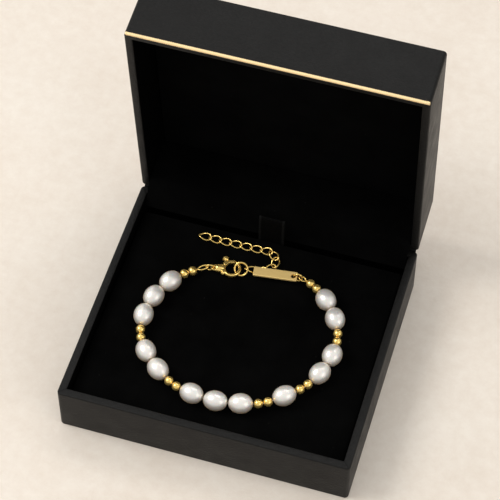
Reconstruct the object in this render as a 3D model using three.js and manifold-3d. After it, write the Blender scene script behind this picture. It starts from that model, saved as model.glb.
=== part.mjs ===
// Pearl bracelet lying in an open presentation box whose lid is hinged.
// Millimetres, +Z up, +Y towards the hinge. Origin: middle of the box's underside.

import * as THREE from "three";
import { mergeVertices } from "three/addons/utils/BufferGeometryUtils.js";
import Module from "manifold-3d";

const wasm = await Module();
wasm.setup();

// Box
const boxWidth = 95;
const boxDepth = 85;
const baseHeight = 18.3;
const lidHeight = 19.8;
const rimGap = 0.4;
const wall = 2.6;
const floorThickness = 2;
const lidTopThickness = 2;
const cornerRadius = 1.8;
const edgeRound = 0.8;
const lidOpenAngle = 85;

// Linings, all velvet
const liningGap = 0.3;
const padRecess = 4;
const padEdgeRound = 0.9;
const padBackSlot = 1.6;
const hingeLiningDepth = 2.4;
const hingeLiningBend = 0.85;
const hingeLiningDrop = 0.8;
const lidPanelThickness = 1.6;
const lidPanelCorner = 0.7;
const lidPanelEdge = 0.5;
const lidLiningThickness = 0.8;

// Gold line along the lid's front edge
const goldLineDiameter = 0.95;
const goldLineInset = 0.06;

// Ribbon pull tab
const tabWidth = 8.6;
const tabThickness = 0.4;
const tabHeight = 11;
const tabWidestHeight = 7.9;
const tabTailDepth = 6;
const tabHeadDepth = 1.9;
const tabNeckDepth = 0.9;
const tabLean = 0.5;
const tabOffset = -0.6;

// Beads
const pearlLength = 7.7;
const pearlDiameter = 6.4;
const goldBeadDiameter = 3;
const drillDiameter = 1.1;
const threadDiameter = 0.4;
const beadGap = 0.3;
const threadTension = 0.12;
const pearlSides = 14;
const pearlArcs = 8;
const goldBeadSides = 12;
const goldBeadArcs = 6;
const restGap = 0.2;
const pairDroop = 0.35;

// Wire rings and links
const wireSides = 5;
const linkSides = 14;
const ringSides = 16;
const linkLength = 4.6;
const linkWidth = 3;
const linkWire = 0.45;
const linkTwist = 34;
const linkSlack = 0.1;
const bentLinkSlack = 0.2;
const claspLoopLength = 3.9;
const tagLoopLength = 3;
const endLoopWidth = 1.9;
const endLoopWire = 0.45;
const endSolderDepth = 0.36;
const endStemShown = 0.5;
const endStemHidden = 0.5;
const claspLoopTurn = -15;
const claspLoopLift = 9;
const tagLoopTurn = 17;
const tagLoopLift = 5;
const jumpRingDiameter = 3.2;
const jumpRingWire = 0.5;
const catchRingDiameter = 5;
const catchRingWire = 0.6;
const tagRingDiameter = 3.4;
const tagRingWire = 0.5;

// Lobster clasp
const hookRadius = 3.05;
const hookOpeningWidth = 4.3;
const hookOpeningLength = 4.5;
const claspReach = 5.9;
const claspEyeRadius = 0.95;
const claspEyeHole = 0.9;
const clawThickness = 1.1;
const claspEyeThickness = 0.6;
const claspDomeLength = 4;
const claspDomeWidth = 2.2;
const claspDomeHeight = 2.2;
const claspDomeShift = 0.1;
const claspEyeNeck = 0.76;
const claspShoulder = 150;
const claspNeckTurn = 99;
const claspLugX = -2.75;
const claspLugY = -1.75;
const claspLugDiameter = 1.5;
const claspEdge = 0.25;
const leverGap = 0.14;
const leverWidth = 0.8;
const leverPivotRadius = 0.62;
const leverPivotX = -2.2;
const leverPivotY = 1.7;
const leverBendX = -1;
const leverBendY = 2.62;
const leverTipX = 0.8;
const leverTipY = 2.66;
const leverTravel = 20;
const leverThickness = 1;
const knobDiameter = 1.8;
const knobReach = 1.95;
const knobStemWidth = 0.6;

// Tag plate
const tagLength = 14.4;
const tagWidth = 3.4;
const tagThickness = 0.8;
const tagEdge = 0.1;
const tagCorner = 0.35;
const tagHoleDiameter = 1.7;
const tagHoleMargin = 0.4;
const tagHeight = 1.45;
const tagEyeDiameter = 1.5;
const tagEyeWire = 0.4;

// Where the bracelet lies on the pad. The string's route is seen from above and starts at the clasp's side.
const stringRoute = [
  [-20.2, 16.6], [-23.6, 12.9], [-27.2, 8.3], [-30.4, 1.0], [-31.1, -7.2], [-29.0, -14.6], [-25.2, -20.2],
  [-19.8, -24.9], [-13.2, -28.5], [-6.4, -30.3], [1.2, -30.6], [8.8, -29.2], [15.4, -26.6], [21.2, -22.4],
  [26.2, -16.9], [29.9, -10.6], [31.5, -3.3], [30.8, 4.6], [28.0, 11.2], [23.3, 16.6], [18.6, 20.6], [14.6, 23.1],
];
const beadOrder = "g g P P P g g P P g g P P P g g P g g P P g g P P g g".split(" ");
const stringShift = -0.6;
const firstBeadsDrop = [1.5, 0.8, 0.1];
const hardware = {
  jumpRing: { x: -16.37, y: 18.54, z: 1.72, heading: 16.7, roll: 90.9, pitch: -10.3 },
  clasp: { x: -9.34, y: 20.22, z: 1.5, heading: 12.6 },
  catchRing: { x: -6.36, y: 20.78, z: 1.83, heading: 12.7, roll: 42, pitch: 6.4 },
  tag: { x: 4.97, y: 21.85, z: 0.29, heading: 7 },
  tagRing: { x: 12.34, y: 22.91, z: 1.85, heading: 3.2, roll: 79.8 },
};
const chainStart = { x: -4.88, y: 21.32 };
const chainLinks = [
  { heading: 18.5, height: 1.4, pitch: -15.6, roll: -12.2, bent: true },
  { heading: 14, height: 0.94, pitch: 1.6, roll: -11.9, bent: true },
  { heading: 47, height: 0.91, pitch: -4.7, bent: true },
  { heading: 94, height: 0.85, bent: true },
  { heading: 141, height: 0.85, bent: true },
  { heading: 183, height: 0.85 },
  { heading: 181, height: 0.85 },
  { heading: 181, height: 0.85 },
  { heading: 180, height: 0.85 },
  { heading: 180, height: 0.85 },
  { heading: 179, height: 0.85 },
  { heading: 179, height: 0.85 },
];

// Places worked out from the sizes
const innerHalfWidth = boxWidth / 2 - wall;
const innerHalfDepth = boxDepth / 2 - wall;
const padTop = baseHeight - padRecess;
const hingeHeight = baseHeight + rimGap / 2;
const beadAxisHeight = padTop + restGap + pearlDiameter / 2;

// Materials
const leatherette = () => new THREE.MeshStandardMaterial({ color: 0x262524, roughness: 0.6, metalness: 0 });
const velvet = () => new THREE.MeshStandardMaterial({ color: 0x0b0a0a, roughness: 1, metalness: 0 });
const gold = () => new THREE.MeshStandardMaterial({ color: 0xe0b458, roughness: 0.2, metalness: 1 });
const brushedGold = () => new THREE.MeshStandardMaterial({ color: 0xe2bd6c, roughness: 0.42, metalness: 1 });
const paleGold = () => new THREE.MeshStandardMaterial({ color: 0xd8b878, roughness: 0.35, metalness: 1 });
const nacre = () => new THREE.MeshStandardMaterial({ color: 0xf3e9df, roughness: 0.3, metalness: 0 });
const ribbon = () => new THREE.MeshStandardMaterial({ color: 0x14130f, roughness: 0.7, metalness: 0 });
const silk = () => new THREE.MeshStandardMaterial({ color: 0xe9dcc8, roughness: 0.8, metalness: 0 });

const model = new THREE.Group();

function addPiece(parent, name, geometry, material) {
  const mesh = new THREE.Mesh(geometry, material);
  mesh.name = name;
  parent.add(mesh);
  return mesh;
}

// Solids that are cut or joined
function toSolid(geometry) {
  const bare = geometry.clone();
  bare.deleteAttribute("normal");
  bare.deleteAttribute("uv");
  const merged = mergeVertices(bare, 1e-5);
  return new wasm.Manifold(new wasm.Mesh({
    numProp: 3,
    vertProperties: Float32Array.from(merged.attributes.position.array),
    triVerts: Uint32Array.from(merged.index.array),
  }));
}

function toGeometry(solid) {
  const mesh = solid.getMesh();
  const geometry = new THREE.BufferGeometry();
  geometry.setAttribute("position", new THREE.BufferAttribute(Float32Array.from(mesh.vertProperties), 3));
  geometry.setIndex(new THREE.BufferAttribute(Uint32Array.from(mesh.triVerts), 1));
  geometry.computeVertexNormals();
  return geometry;
}

function cut(geometry, ...tools) {
  return toGeometry(tools.reduce((left, tool) => left.subtract(toSolid(tool)), toSolid(geometry)));
}

function join(geometry, ...others) {
  return toGeometry(others.reduce((left, other) => left.add(toSolid(other)), toSolid(geometry)));
}

// Shapes
function roundedRectangle(width, depth, radius) {
  const shape = new THREE.Shape();
  const x = width / 2 - radius;
  const y = depth / 2 - radius;
  shape.absarc(x, y, radius, 0, Math.PI / 2);
  shape.absarc(-x, y, radius, Math.PI / 2, Math.PI);
  shape.absarc(-x, -y, radius, Math.PI, Math.PI * 1.5);
  shape.absarc(x, -y, radius, Math.PI * 1.5, Math.PI * 2);
  shape.closePath();
  return shape;
}

function roundedBlock(width, depth, height, radius, edge) {
  const inset = Math.max(radius - edge, 0.2);
  const geometry = new THREE.ExtrudeGeometry(roundedRectangle(width - 2 * edge, depth - 2 * edge, inset), {
    depth: height - 2 * edge,
    bevelThickness: edge,
    bevelSize: edge,
    bevelSegments: 2,
    curveSegments: 3,
  });
  return geometry.translate(0, 0, edge);
}

function block(minimum, maximum) {
  const size = maximum.map((value, axis) => value - minimum[axis]);
  const middle = maximum.map((value, axis) => (value + minimum[axis]) / 2);
  return new THREE.BoxGeometry(...size).translate(...middle);
}

// A profile drawn in (y, z) and drawn out along x, centred
function alongX(points, length) {
  const shape = new THREE.Shape(points.map(([y, z]) => new THREE.Vector2(y, z)));
  const geometry = new THREE.ExtrudeGeometry(shape, { depth: length, bevelEnabled: false });
  geometry.translate(0, 0, -length / 2);
  const turn = new THREE.Matrix4().makeBasis(
    new THREE.Vector3(0, 1, 0), new THREE.Vector3(0, 0, 1), new THREE.Vector3(1, 0, 0));
  return geometry.applyMatrix4(turn);
}

// Tray, with the pocket that holds the pad
function trayGeometry() {
  const outside = roundedBlock(boxWidth, boxDepth, baseHeight, cornerRadius, edgeRound);
  const pocket = block(
    [-innerHalfWidth, -innerHalfDepth, floorThickness],
    [innerHalfWidth, innerHalfDepth, baseHeight + 1]);
  return cut(outside, pocket);
}

const padHalfWidth = innerHalfWidth - liningGap;
const padFront = -(innerHalfDepth - liningGap);
const liningBack = innerHalfDepth - liningGap;
const padBack = liningBack - hingeLiningDepth - padBackSlot;

function padGeometry() {
  const height = padTop - floorThickness - liningGap;
  const depth = padBack - padFront;
  return roundedBlock(2 * padHalfWidth, depth, height, padEdgeRound, padEdgeRound);
}

// The lining behind the pad slopes up from the pad's level to the rim
function hingeLiningGeometry() {
  const front = liningBack - hingeLiningDepth;
  const bottom = floorThickness + liningGap;
  const profile = [
    [front, bottom], [liningBack, bottom], [liningBack, baseHeight - liningGap],
    [liningBack - hingeLiningBend, baseHeight - liningGap - hingeLiningDrop],
    [front, padTop],
  ];
  return alongX(profile, 2 * padHalfWidth);
}

// Ribbon doubled into a standing loop whose tail goes down behind the pad
function pullTabGeometry() {
  const middle = padBack + padBackSlot / 2;
  const half = tabNeckDepth / 2 - tabThickness / 2;
  const head = tabHeadDepth / 2 - tabThickness / 2;
  const lean = middle + tabLean;
  const bottom = padTop - tabTailDepth;
  const widest = padTop + tabWidestHeight;
  const top = padTop + tabHeight - tabThickness / 2;
  const side = (sign) => [
    new THREE.Vector3(0, middle + sign * half, bottom),
    new THREE.Vector3(0, middle + sign * half, padTop - tabThickness),
    new THREE.Vector3(0, lean + sign * head, widest),
  ];
  const path = new THREE.CatmullRomCurve3([...side(-1), new THREE.Vector3(0, lean, top), ...side(1).reverse()]);
  const section = new THREE.Shape([
    new THREE.Vector2(-tabThickness / 2, -tabWidth / 2), new THREE.Vector2(tabThickness / 2, -tabWidth / 2),
    new THREE.Vector2(tabThickness / 2, tabWidth / 2), new THREE.Vector2(-tabThickness / 2, tabWidth / 2),
  ]);
  return new THREE.ExtrudeGeometry(section, { steps: 22, extrudePath: path });
}

// Lid parts are drawn closed, from the hinge line: -y towards the front, z up from the rim's plane
function lidShellGeometry() {
  const outside = roundedBlock(boxWidth, boxDepth, lidHeight, cornerRadius, edgeRound);
  outside.translate(0, -boxDepth / 2, rimGap / 2);
  const pocket = block(
    [-innerHalfWidth, -(boxDepth - wall), -1],
    [innerHalfWidth, -wall, rimGap / 2 + lidHeight - lidTopThickness]);
  const seat = goldLineInset + goldLineDiameter + liningGap;
  const groove = block(
    [-boxWidth, -boxDepth - 1, -1],
    [boxWidth, -boxDepth + seat, rimGap / 2 + seat]);
  return cut(outside, pocket, groove);
}

function goldLineGeometry() {
  const rod = new THREE.CylinderGeometry(
    goldLineDiameter / 2, goldLineDiameter / 2, boxWidth - 2 * edgeRound, 8);
  const place = goldLineInset + goldLineDiameter / 2;
  return rod.rotateZ(Math.PI / 2).translate(0, -boxDepth + place, rimGap / 2 + place);
}

function lidPanelGeometry() {
  const depth = 2 * innerHalfDepth - 2 * liningGap;
  const panel = roundedBlock(2 * padHalfWidth, depth, lidPanelThickness, lidPanelCorner, lidPanelEdge);
  const top = rimGap / 2 + lidHeight - lidTopThickness - liningGap;
  return panel.translate(0, -boxDepth / 2, top - lidPanelThickness);
}

function lidLiningGeometry() {
  const back = -wall - liningGap;
  const top = rimGap / 2 + lidHeight - lidTopThickness - lidPanelThickness - 2 * liningGap;
  return block(
    [-padHalfWidth, back - lidLiningThickness, rimGap / 2 + liningGap],
    [padHalfWidth, back, top]);
}

// Beads are turned about y with their drilled hole along it
function beadGeometry(length, diameter, sides, arcs) {
  const hole = drillDiameter / 2;
  const startAngle = Math.asin(hole / (diameter / 2));
  const halfAxis = length / 2 / Math.cos(startAngle);
  const profile = [];
  for (let step = 0; step <= arcs; step += 1) {
    const angle = startAngle + (Math.PI - 2 * startAngle) * (step / arcs);
    profile.push(new THREE.Vector2(diameter / 2 * Math.sin(angle), -halfAxis * Math.cos(angle)));
  }
  profile.push(profile[0].clone());
  return new THREE.LatheGeometry(profile, sides);
}

const goldBeadLength = Math.sqrt(goldBeadDiameter ** 2 - drillDiameter ** 2);

// Walks along the route and gives each bead its centre and the thread its bends
function layOutString() {
  const route = new THREE.CatmullRomCurve3(
    stringRoute.map(([x, y]) => new THREE.Vector3(x, y, 0)), false, "centripetal");
  route.arcLengthDivisions = 1200;
  const routeLength = route.getLength();
  const lengths = beadOrder.map((kind) => (kind === "P" ? pearlLength : goldBeadLength));
  const total = lengths.reduce((sum, length) => sum + length + beadGap, -beadGap);
  let travelled = (routeLength - total) / 2 + stringShift;
  const heightAt = (index) => {
    const fromEnd = Math.min(index, beadOrder.length - 1 - index);
    if (fromEnd < firstBeadsDrop.length) {
      return beadAxisHeight - firstBeadsDrop[fromEnd];
    }
    return beadAxisHeight - (beadOrder[index] === "P" ? 0 : pairDroop);
  };
  const at = (distance) => route.getPointAt(Math.min(Math.max(distance / routeLength, 0), 1));
  const beads = lengths.map((length, index) => {
    const start = at(travelled);
    const end = at(travelled + length);
    travelled += length + beadGap;
    const centre = start.clone().add(end).multiplyScalar(0.5);
    centre.z = heightAt(index);
    return { kind: beadOrder[index], length, centre, direction: end.sub(start).normalize() };
  });
  return beads;
}

function tiltBeads(beads) {
  beads.forEach((bead, index) => {
    const before = beads[Math.max(index - 1, 0)].centre;
    const after = beads[Math.min(index + 1, beads.length - 1)].centre;
    const run = Math.hypot(after.x - before.x, after.y - before.y);
    bead.direction.z = (after.z - before.z) / run;
    bead.direction.normalize();
  });
  return beads;
}

const beads = tiltBeads(layOutString());

function threadGeometry() {
  const ends = beads.map((bead) => {
    const half = bead.direction.clone().multiplyScalar(bead.length / 2);
    return { start: bead.centre.clone().sub(half), end: bead.centre.clone().add(half) };
  });
  const bends = [];
  for (let index = 1; index < ends.length; index += 1) {
    bends.push(ends[index - 1].end.clone().add(ends[index].start).multiplyScalar(0.5));
  }
  const first = beads[0].centre.clone();
  const last = beads[beads.length - 1].centre.clone();
  const path = new THREE.CatmullRomCurve3([first, ...bends, last], false, "catmullrom", threadTension);
  path.arcLengthDivisions = 1200;
  const section = new THREE.Shape();
  section.absarc(0, 0, threadDiameter / 2, 0, Math.PI * 2);
  return new THREE.ExtrudeGeometry(section, { steps: 3 * beads.length, curveSegments: 3, extrudePath: path });
}

// A closed loop of wire, longer along x, whose two ends may be twisted about x like a curb link's
function wireLoop({ length, width, wire, startTwist = 0, endTwist = 0, around = linkSides }) {
  const geometry = new THREE.TorusGeometry(1, 0.3, wireSides, around);
  const position = geometry.attributes.position;
  const halfLength = (length - wire) / 2;
  const halfWidth = (width - wire) / 2;
  const point = new THREE.Vector3();
  const outward = new THREE.Vector3();
  const long = new THREE.Vector3(1, 0, 0);
  for (let side = 0; side <= wireSides; side += 1) {
    for (let step = 0; step <= around; step += 1) {
      const turn = ((step % around) / around) * Math.PI * 2;
      const lean = ((side % wireSides) / wireSides) * Math.PI * 2;
      outward.set(Math.cos(turn) * halfWidth, Math.sin(turn) * halfLength, 0).normalize();
      point.set(halfLength * Math.cos(turn), halfWidth * Math.sin(turn), 0);
      const share = point.x / halfLength;
      point.addScaledVector(outward, wire / 2 * Math.cos(lean));
      point.z += wire / 2 * Math.sin(lean);
      const twist = share > 0 ? endTwist * share : -startTwist * share;
      point.applyAxisAngle(long, THREE.MathUtils.degToRad(twist));
      position.setXYZ(side * (around + 1) + step, point.x, point.y, point.z);
    }
  }
  geometry.computeVertexNormals();
  return geometry;
}

// Stands a piece at a place on the pad: roll about its own length, then pitch, then its heading
function lay(mesh, { x, y, z, heading, roll = 0, pitch = 0 }) {
  const degrees = THREE.MathUtils.degToRad;
  mesh.position.set(x, y, padTop + z);
  mesh.rotation.set(degrees(roll), degrees(-pitch), degrees(heading), "ZYX");
  return mesh;
}

// Loop soldered to a stem that sits in the end bead's hole
function endLoopGeometry(length) {
  const loop = wireLoop({ length, width: endLoopWidth, wire: endLoopWire, around: 12 });
  const stemLength = endSolderDepth + endStemShown + endStemHidden;
  const stem = new THREE.CylinderGeometry(endLoopWire / 2, endLoopWire / 2, stemLength, 6);
  stem.rotateZ(Math.PI / 2);
  stem.translate(-length / 2 + endSolderDepth - stemLength / 2, 0, 0);
  return join(loop, stem);
}

// Comes out of the string's end bead and turns and lifts a little towards what it holds
function endLoopPlace(bead, sign, length, turn, lift) {
  const away = bead.direction.clone().multiplyScalar(sign);
  const mouth = bead.centre.clone().addScaledVector(away, bead.length / 2);
  const heading = Math.atan2(away.y, away.x) + THREE.MathUtils.degToRad(turn);
  const rise = THREE.MathUtils.degToRad(lift);
  away.set(Math.cos(heading) * Math.cos(rise), Math.sin(heading) * Math.cos(rise), Math.sin(rise));
  const centre = mouth.addScaledVector(away, endStemShown + length / 2);
  return {
    x: centre.x, y: centre.y, z: centre.z - padTop, heading: THREE.MathUtils.radToDeg(heading), pitch: lift,
  };
}

// Clasp, drawn round the middle of its hook with the eye along -x
function claspOutline() {
  const shoulder = THREE.MathUtils.degToRad(claspShoulder);
  const neck = THREE.MathUtils.degToRad(claspNeckTurn);
  const shape = new THREE.Shape();
  shape.absarc(-claspReach, 0, claspEyeRadius, neck, Math.PI * 2 - neck);
  shape.absarc(0, 0, hookRadius, -shoulder, shoulder);
  shape.closePath();
  const opening = new THREE.Path();
  opening.absellipse(0, 0, hookOpeningWidth / 2, hookOpeningLength / 2, 0, Math.PI * 2);
  shape.holes.push(opening);
  return shape;
}

function plate(shape, thickness, edge, curveSegments) {
  const geometry = new THREE.ExtrudeGeometry(shape, {
    depth: thickness - 2 * edge,
    bevelThickness: edge,
    bevelSize: edge,
    bevelOffset: -edge,
    bevelSegments: 1,
    curveSegments,
  });
  return geometry.translate(0, 0, edge - thickness / 2);
}

function disc(x, y, radius, height, sides) {
  return new THREE.CylinderGeometry(radius, radius, height, sides).rotateX(Math.PI / 2).translate(x, y, 0);
}

// A straight bar seen from above, from one point to another
function bar(fromX, fromY, toX, toY, width, height) {
  const length = Math.hypot(toX - fromX, toY - fromY);
  const geometry = new THREE.BoxGeometry(length, width, height);
  geometry.rotateZ(Math.atan2(toY - fromY, toX - fromX));
  return geometry.translate((fromX + toX) / 2, (fromY + toY) / 2, 0);
}

function turnAboutPivot(geometry, angle) {
  return geometry.translate(-leverPivotX, -leverPivotY, 0)
    .rotateZ(THREE.MathUtils.degToRad(angle))
    .translate(leverPivotX, leverPivotY, 0);
}

// The lever is bent, so that it follows the hook's round
function bentBar(width, height, reach) {
  return join(
    bar(leverPivotX, leverPivotY, leverBendX, leverBendY, width, height),
    disc(leverBendX, leverBendY, width / 2, height, 12),
    bar(leverBendX, leverBendY, leverTipX + reach, leverTipY, width, height));
}

function leverRoom(angle) {
  return turnAboutPivot(bentBar(leverWidth + 2 * leverGap, 2 * claspDomeHeight, leverGap), angle);
}

function knobRoom(angle) {
  const height = 2 * claspDomeHeight;
  const width = knobStemWidth + 2 * leverGap;
  const bare = bar(leverPivotX, leverPivotY, leverPivotX, leverPivotY + knobReach, width, height);
  return turnAboutPivot(bare, angle);
}

function claspBodyGeometry() {
  const dome = new THREE.SphereGeometry(0.5, 12, 8).rotateX(Math.PI / 2);
  dome.scale(claspDomeLength, claspDomeWidth, claspDomeHeight);
  dome.translate(claspDomeShift - hookOpeningWidth / 2 - claspDomeLength / 2, 0, 0);
  const lug = new THREE.SphereGeometry(claspLugDiameter / 2, 10, 6).rotateX(Math.PI / 2);
  lug.translate(claspLugX, claspLugY, 0);
  const body = join(plate(claspOutline(), clawThickness, claspEdge, 10), dome, lug);
  const tall = 2 * claspDomeHeight;
  const slab = (sign) => block(
    [-claspReach - 2 * claspEyeRadius, -2 * claspEyeRadius, sign > 0 ? claspEyeThickness / 2 : -tall],
    [-claspReach + claspEyeNeck, 2 * claspEyeRadius, sign > 0 ? tall : -claspEyeThickness / 2]);
  return cut(
    body,
    disc(-claspReach, 0, claspEyeHole / 2, tall, 12),
    slab(1),
    slab(-1),
    disc(leverPivotX, leverPivotY, leverPivotRadius + leverGap, tall, 14),
    leverRoom(leverTravel / 2),
    ...[0, 1, 2, 3, 4].map((step) => leverRoom(-leverTravel * step / 4)),
    ...[0, 1, 2, 3, 4].map((step) => knobRoom(-leverTravel * step / 4)));
}

function claspLeverGeometry() {
  const height = leverThickness;
  const knobY = leverPivotY + knobReach;
  const knob = new THREE.SphereGeometry(knobDiameter / 2, 10, 6).rotateX(Math.PI / 2);
  knob.translate(leverPivotX, knobY, 0);
  return join(
    disc(leverPivotX, leverPivotY, leverPivotRadius, height, 12),
    bentBar(leverWidth, height, 0),
    bar(leverPivotX, leverPivotY, leverPivotX, knobY, knobStemWidth, height),
    knob);
}

// Tag plate with its ring's hole at one end and a soldered eye under the other
function tagPlateGeometry() {
  const shape = roundedRectangle(tagLength, tagWidth, tagCorner);
  const hole = new THREE.Path();
  const holeX = tagLength / 2 - tagHoleMargin - tagHoleDiameter / 2;
  hole.absarc(holeX, 0, tagHoleDiameter / 2, 0, Math.PI * 2);
  shape.holes.push(hole);
  const bare = plate(shape, tagThickness, tagEdge, 4).translate(0, 0, tagHeight + tagThickness / 2);
  const eye = wireLoop({ length: tagEyeDiameter, width: tagEyeDiameter, wire: tagEyeWire, around: 12 });
  eye.rotateX(Math.PI / 2).rotateZ(Math.PI / 2);
  eye.translate(tagEyeX, tagEyeY, tagEyeZ);
  return join(bare, eye);
}

// The extender's links follow each other by their headings and overlap at their ends
function layOutChain() {
  const reach = (linkLength - linkWire) / 2;
  const overlap = (index) => {
    const before = chainLinks[index - 1];
    const after = chainLinks[index];
    const bend = before && after ? after.heading - before.heading : 0;
    const slack = (before ?? after).bent ? bentLinkSlack : linkSlack;
    return (linkWire / 2 + slack) / Math.cos(THREE.MathUtils.degToRad(bend / 2));
  };
  const joint = new THREE.Vector2(chainStart.x, chainStart.y);
  return chainLinks.map((link, index) => {
    const angle = THREE.MathUtils.degToRad(link.heading);
    const along = new THREE.Vector2(Math.cos(angle), Math.sin(angle));
    const centre = joint.clone().addScaledVector(along, reach - overlap(index));
    joint.addScaledVector(along, 2 * reach - overlap(index) - overlap(index + 1));
    return { ...link, x: centre.x, y: centre.y, z: link.height };
  });
}

const chain = layOutChain();

// The tag's eye hangs round the second link's near side, in the tag's own frame
const tagAngle = THREE.MathUtils.degToRad(hardware.tag.heading);
const eyeLink = chain[1];
const eyeLinkAngle = THREE.MathUtils.degToRad(eyeLink.heading);
const nearSide = -(linkWidth - linkWire) / 2;
const eyeWorldX = eyeLink.x - Math.sin(eyeLinkAngle) * nearSide - hardware.tag.x;
const eyeWorldY = eyeLink.y + Math.cos(eyeLinkAngle) * nearSide - hardware.tag.y;
const tagEyeX = eyeWorldX * Math.cos(tagAngle) + eyeWorldY * Math.sin(tagAngle);
const tagEyeY = -eyeWorldX * Math.sin(tagAngle) + eyeWorldY * Math.cos(tagAngle);
const tagEyeZ = eyeLink.z + nearSide * Math.sin(THREE.MathUtils.degToRad(eyeLink.roll)) - hardware.tag.z;

// Box
addPiece(model, "tray", trayGeometry(), leatherette());
const pad = addPiece(model, "pad", padGeometry(), velvet());
pad.position.set(0, (padBack + padFront) / 2, floorThickness + liningGap);
addPiece(model, "hinge_lining", hingeLiningGeometry(), velvet());
const pullTab = addPiece(model, "pull_tab", pullTabGeometry(), ribbon());
pullTab.position.x = tabOffset;

const lid = new THREE.Group();
lid.position.set(0, boxDepth / 2, hingeHeight);
lid.rotation.x = -THREE.MathUtils.degToRad(lidOpenAngle);
model.add(lid);
addPiece(lid, "lid_shell", lidShellGeometry(), leatherette());
addPiece(lid, "lid_panel", lidPanelGeometry(), velvet());
addPiece(lid, "lid_lining", lidLiningGeometry(), velvet());
addPiece(lid, "gold_line", goldLineGeometry(), paleGold());

// String of beads
const counts = { P: 0, g: 0 };
const upright = new THREE.Vector3(0, 1, 0);
beads.forEach((bead) => {
  counts[bead.kind] += 1;
  const number = String(counts[bead.kind]).padStart(2, "0");
  const isPearl = bead.kind === "P";
  const mesh = isPearl
    ? addPiece(model, `pearl_${number}`, beadGeometry(pearlLength, pearlDiameter, pearlSides, pearlArcs), nacre())
    : addPiece(model, `gold_bead_${number}`,
      beadGeometry(goldBeadLength, goldBeadDiameter, goldBeadSides, goldBeadArcs), gold());
  mesh.position.copy(bead.centre);
  mesh.quaternion.setFromUnitVectors(upright, bead.direction);
});
addPiece(model, "thread", threadGeometry(), silk());

// Clasp side
const claspLoop = addPiece(model, "end_loop_left", endLoopGeometry(claspLoopLength), gold());
lay(claspLoop, endLoopPlace(beads[0], -1, claspLoopLength, claspLoopTurn, claspLoopLift));
const ring = (diameter, wire) => wireLoop({ length: diameter, width: diameter, wire, around: ringSides });
lay(addPiece(model, "jump_ring", ring(jumpRingDiameter, jumpRingWire), gold()), hardware.jumpRing);
const clasp = lay(new THREE.Group(), hardware.clasp);
model.add(clasp);
addPiece(clasp, "clasp_body", claspBodyGeometry(), gold());
addPiece(clasp, "clasp_lever", claspLeverGeometry(), gold());
lay(addPiece(model, "catch_ring", ring(catchRingDiameter, catchRingWire), gold()), hardware.catchRing);

// Tag side
lay(addPiece(model, "tag_plate", tagPlateGeometry(), brushedGold()), hardware.tag);
lay(addPiece(model, "tag_ring", ring(tagRingDiameter, tagRingWire), gold()), hardware.tagRing);
const tagLoop = addPiece(model, "end_loop_right", endLoopGeometry(tagLoopLength), gold());
lay(tagLoop, endLoopPlace(beads[beads.length - 1], 1, tagLoopLength, tagLoopTurn, tagLoopLift));

// Extender chain
chain.forEach((place, index) => {
  const link = wireLoop({
    length: linkLength, width: linkWidth, wire: linkWire, startTwist: -linkTwist, endTwist: linkTwist,
  });
  lay(addPiece(model, `extender_link_${String(index + 1).padStart(2, "0")}`, link, gold()), place);
});

export default model;
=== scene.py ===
# %% [markdown]
# A pearl bracelet in its presentation box. The hard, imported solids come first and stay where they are.
# Every cell after that makes one piece or one finish, and a finer mesh takes each solid's place. Lengths
# are in metres, and MM turns a length in millimetres into one.

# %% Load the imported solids
import math

import bmesh
import bpy
import numpy as np
from mathutils import Matrix, Vector


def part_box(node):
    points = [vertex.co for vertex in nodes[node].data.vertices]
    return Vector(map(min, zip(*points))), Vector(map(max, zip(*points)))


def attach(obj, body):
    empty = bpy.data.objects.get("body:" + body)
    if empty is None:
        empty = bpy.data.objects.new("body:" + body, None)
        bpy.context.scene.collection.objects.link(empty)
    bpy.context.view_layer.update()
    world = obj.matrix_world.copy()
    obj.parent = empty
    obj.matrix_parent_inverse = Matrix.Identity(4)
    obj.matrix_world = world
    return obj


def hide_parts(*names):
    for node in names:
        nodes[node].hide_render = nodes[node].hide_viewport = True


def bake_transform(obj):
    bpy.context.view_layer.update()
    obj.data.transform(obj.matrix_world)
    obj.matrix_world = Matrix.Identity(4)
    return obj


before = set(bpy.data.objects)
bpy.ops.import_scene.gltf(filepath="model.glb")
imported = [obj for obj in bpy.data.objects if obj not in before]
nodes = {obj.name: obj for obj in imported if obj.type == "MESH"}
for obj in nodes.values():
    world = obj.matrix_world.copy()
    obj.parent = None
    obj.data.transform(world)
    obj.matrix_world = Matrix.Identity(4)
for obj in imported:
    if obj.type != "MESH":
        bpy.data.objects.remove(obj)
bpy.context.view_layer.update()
MM = 0.001

# %% [markdown]
# The camera comes before the pieces, because every choice of detail depends on how near it stands. It looks
# down into the box from the front and a little from the right, through a long lens, so upright edges stay
# almost parallel. The place and the lens were found by matching the box's corners.

# %% Camera
azimuth, elevation, roll = (math.radians(a) for a in (16.58, 54.77, 0.19))
camera_distance = 0.7217
camera_target = Vector((-0.00902, 0.0398, 0.0))
focal_pixels = 2138.3
picture_side = 500

back = Vector((
    math.sin(azimuth) * math.cos(elevation), -math.cos(azimuth) * math.cos(elevation), math.sin(elevation)))
right = Vector((math.cos(azimuth), math.sin(azimuth), 0.0))
upward = back.cross(right)
turned_right = right * math.cos(roll) + upward * math.sin(roll)
turned_up = back.cross(turned_right)

camera_data = bpy.data.cameras.new("camera")
camera_data.sensor_width = 36
camera_data.lens = focal_pixels / picture_side * camera_data.sensor_width
camera = bpy.data.objects.new("camera", camera_data)
bpy.context.scene.collection.objects.link(camera)
camera.matrix_world = Matrix.Translation(camera_target + back * camera_distance) @ Matrix(
    (turned_right, turned_up, back)).transposed().to_4x4()
bpy.context.scene.camera = camera
print("camera at", [round(v, 3) for v in camera.matrix_world.translation], "lens", round(camera_data.lens, 1))

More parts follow.
